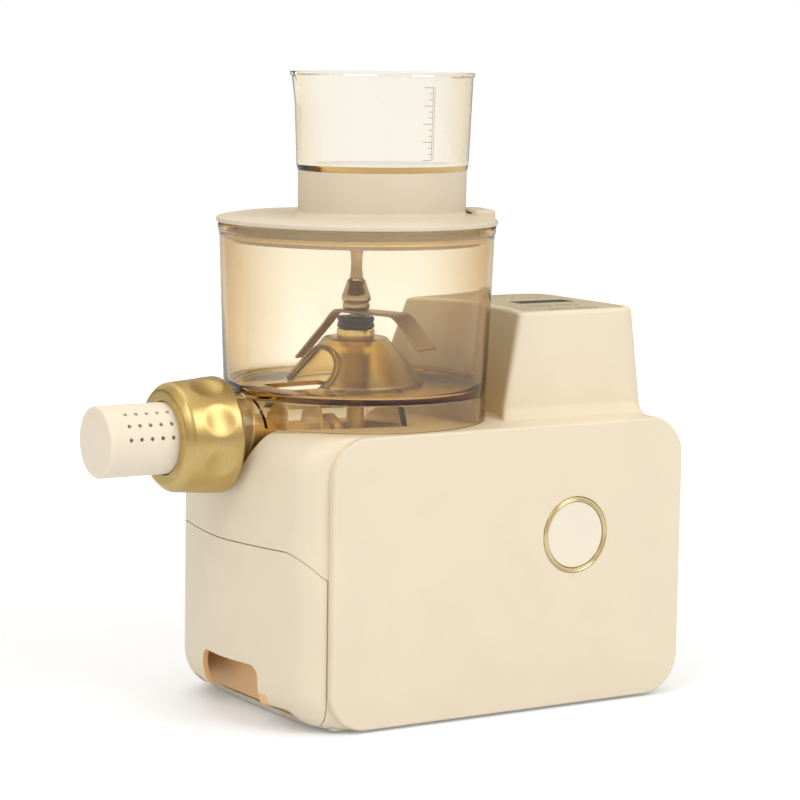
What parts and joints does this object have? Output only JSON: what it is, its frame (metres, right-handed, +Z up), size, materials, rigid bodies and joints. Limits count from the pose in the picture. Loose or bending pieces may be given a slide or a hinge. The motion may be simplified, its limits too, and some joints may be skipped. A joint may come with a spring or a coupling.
{
  "type": "electric pasta maker",
  "caption": "Bench-top electric pasta maker: geared motor under a clear bowl with stirring blade, horizontal auger, ring nut and die cap, lid with measuring cup, storage drawer.",
  "frame": {"origin": "below the middle of the machine's length and depth, in the plane of the feet's undersides", "axes": "+Z up, -X toward the die cap and drawer, -Y toward the plate with the push button; the bowl's axis stands at X = -0.00815 m"},
  "size_m": [0.3198, 0.1474, 0.3323],
  "materials": {
    "cream": "cream moulded plastic, satin gloss",
    "panel": "warm beige printed panel",
    "amber": "clear amber-tinted plastic",
    "gold": "satin gold anodised",
    "bronze": "bronze-brown anodised sheet",
    "steel": "machined steel",
    "chrome": "polished chrome",
    "black": "black plastic",
    "rubber": "soft light rubber",
    "board": "green circuit board"
  },
  "bodies": {
    "base": {"housing": "cream", "front_plate": "cream", "back_plate": "cream", "base_plate": "cream", "base_screw_1": "steel", "base_screw_2": "steel", "base_screw_3": "steel", "base_screw_4": "steel", "foot_1": "rubber", "foot_2": "rubber", "foot_3": "rubber", "foot_4": "rubber", "control_panel": "panel", "display_window": "black", "touch_key_1": "panel", "touch_key_2": "panel", "touch_key_3": "panel", "touch_key_4": "panel", "control_board": "board", "power_board": "board", "power_inlet": "black", "button_ring": "gold", "button_switch": "black", "motor_body": "steel", "gear_plate": "steel"},
    "button": {"button_cap": "cream"},
    "rotor": {"motor_shaft": "steel", "motor_fan": "black", "motor_pinion": "steel"},
    "reduction": {"reduction_gear": "steel"},
    "output": {"output_gear": "steel", "drive_coupling": "black"},
    "bowl_unit": {"bowl": "amber", "cone_cover": "amber", "seal_collar": "gold"},
    "stirrer": {"drive_spindle": "steel", "seal_ring": "black", "stirrer_blade": "bronze", "stirrer_spindle": "chrome"},
    "auger_unit": {"auger": "steel", "auger_bevel": "steel"},
    "die": {"die_cap": "cream"},
    "ring": {"ring_nut": "gold"},
    "lid_unit": {"lid": "cream", "lid_gasket": "rubber"},
    "cup": {"measuring_cup": "amber"},
    "drawer": {"drawer": "cream"}
  },
  "joints": [
    {"name": "button_press", "type": "slide", "parent": "base", "child": "button", "axis": [0, 1, 0], "range_m": [0, 0.0012], "stiffness_N_per_m": 600, "springref_m": -0.002},
    {"name": "output_spin", "type": "hinge", "parent": "base", "child": "output", "pos_m": [-0.00815, 0, 0.0964], "axis": [0, 0, 1], "continuous": true},
    {"name": "reduction_spin", "type": "hinge", "parent": "base", "child": "reduction", "pos_m": [0.02485, 0, 0.0995], "axis": [0, 0, 1], "continuous": true},
    {"name": "motor_spin", "type": "hinge", "parent": "base", "child": "rotor", "pos_m": [0.05285, 0, 0.057], "axis": [0, 0, 1], "continuous": true},
    {"name": "bowl_lift", "type": "slide", "parent": "base", "child": "bowl_unit", "axis": [0, 0, 1], "range_m": [0, 0.06]},
    {"name": "stirrer_spin", "type": "hinge", "parent": "bowl_unit", "child": "stirrer", "pos_m": [-0.00815, 0, 0.2], "axis": [0, 0, 1], "continuous": true},
    {"name": "auger_spin", "type": "hinge", "parent": "bowl_unit", "child": "auger_unit", "pos_m": [-0.05815, 0, 0.1472], "axis": [1, 0, 0], "continuous": true},
    {"name": "die_slide", "type": "slide", "parent": "bowl_unit", "child": "die", "axis": [-1, 0, 0], "range_m": [0, 0.045]},
    {"name": "ring_turn", "type": "hinge", "parent": "die", "child": "ring", "pos_m": [-0.10615, 0, 0.1472], "axis": [1, 0, 0], "range_deg": [0, 90]},
    {"name": "lid_lift", "type": "slide", "parent": "bowl_unit", "child": "lid_unit", "axis": [0, 0, 1], "range_m": [0, 0.05]},
    {"name": "cup_lift", "type": "slide", "parent": "lid_unit", "child": "cup", "axis": [0, 0, 1], "range_m": [0, 0.05]},
    {"name": "drawer_slide", "type": "slide", "parent": "base", "child": "drawer", "axis": [-1, 0, 0], "range_m": [0, 0.06]}
  ],
  "couplings": [
    {"joint": "output_spin", "follows": "stirrer_spin", "ratio": 1},
    {"joint": "reduction_spin", "follows": "stirrer_spin", "ratio": -3.75},
    {"joint": "motor_spin", "follows": "stirrer_spin", "ratio": 11.719},
    {"joint": "auger_spin", "follows": "stirrer_spin", "ratio": -1}
  ]
}
